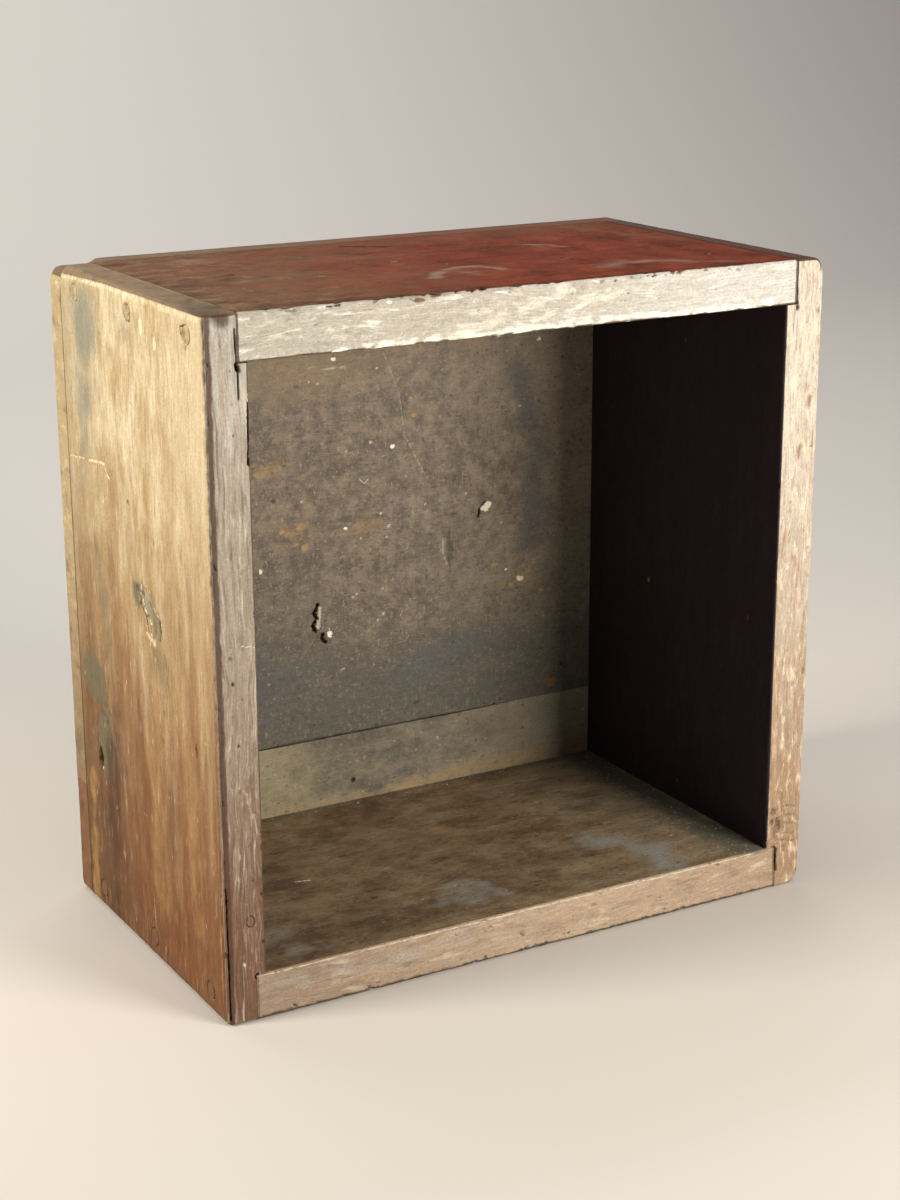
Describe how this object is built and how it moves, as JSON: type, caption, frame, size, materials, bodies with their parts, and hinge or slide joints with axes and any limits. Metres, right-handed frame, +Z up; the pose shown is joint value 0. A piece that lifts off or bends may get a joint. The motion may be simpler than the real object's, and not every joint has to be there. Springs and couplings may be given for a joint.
{
  "type": "wooden box",
  "caption": "Square open-fronted wooden box with rebated, nailed corners and a two-board back, worn with age.",
  "frame": {"origin": "middle of the base, under the middle of the box's depth", "axes": "+X to the right across the mouth, +Y from the open mouth to the back, +Z up"},
  "size_m": [0.32, 0.1792, 0.32],
  "materials": {
    "left_wood": "dry, worn pale softwood with brown stains",
    "right_wood": "pale worn edge, dark dirty faces",
    "top_wood": "reddish brown old stain, pale worn edge",
    "bottom_wood": "olive brown, dirty, pale worn edge",
    "back_wood": "grey-brown dirty old wood",
    "nail_iron": "rusted hand-forged iron"
  },
  "bodies": {
    "root": {"left_board": "left_wood", "right_board": "right_wood", "top_board": "top_wood", "bottom_board": "bottom_wood", "back_wide_board": "back_wood", "back_narrow_board": "back_wood", "left_top_nails": "nail_iron", "left_bottom_nails": "nail_iron", "right_top_nails": "nail_iron", "right_bottom_nails": "nail_iron", "wide_back_nails": "nail_iron", "narrow_back_nails": "nail_iron"}
  },
  "joints": []
}
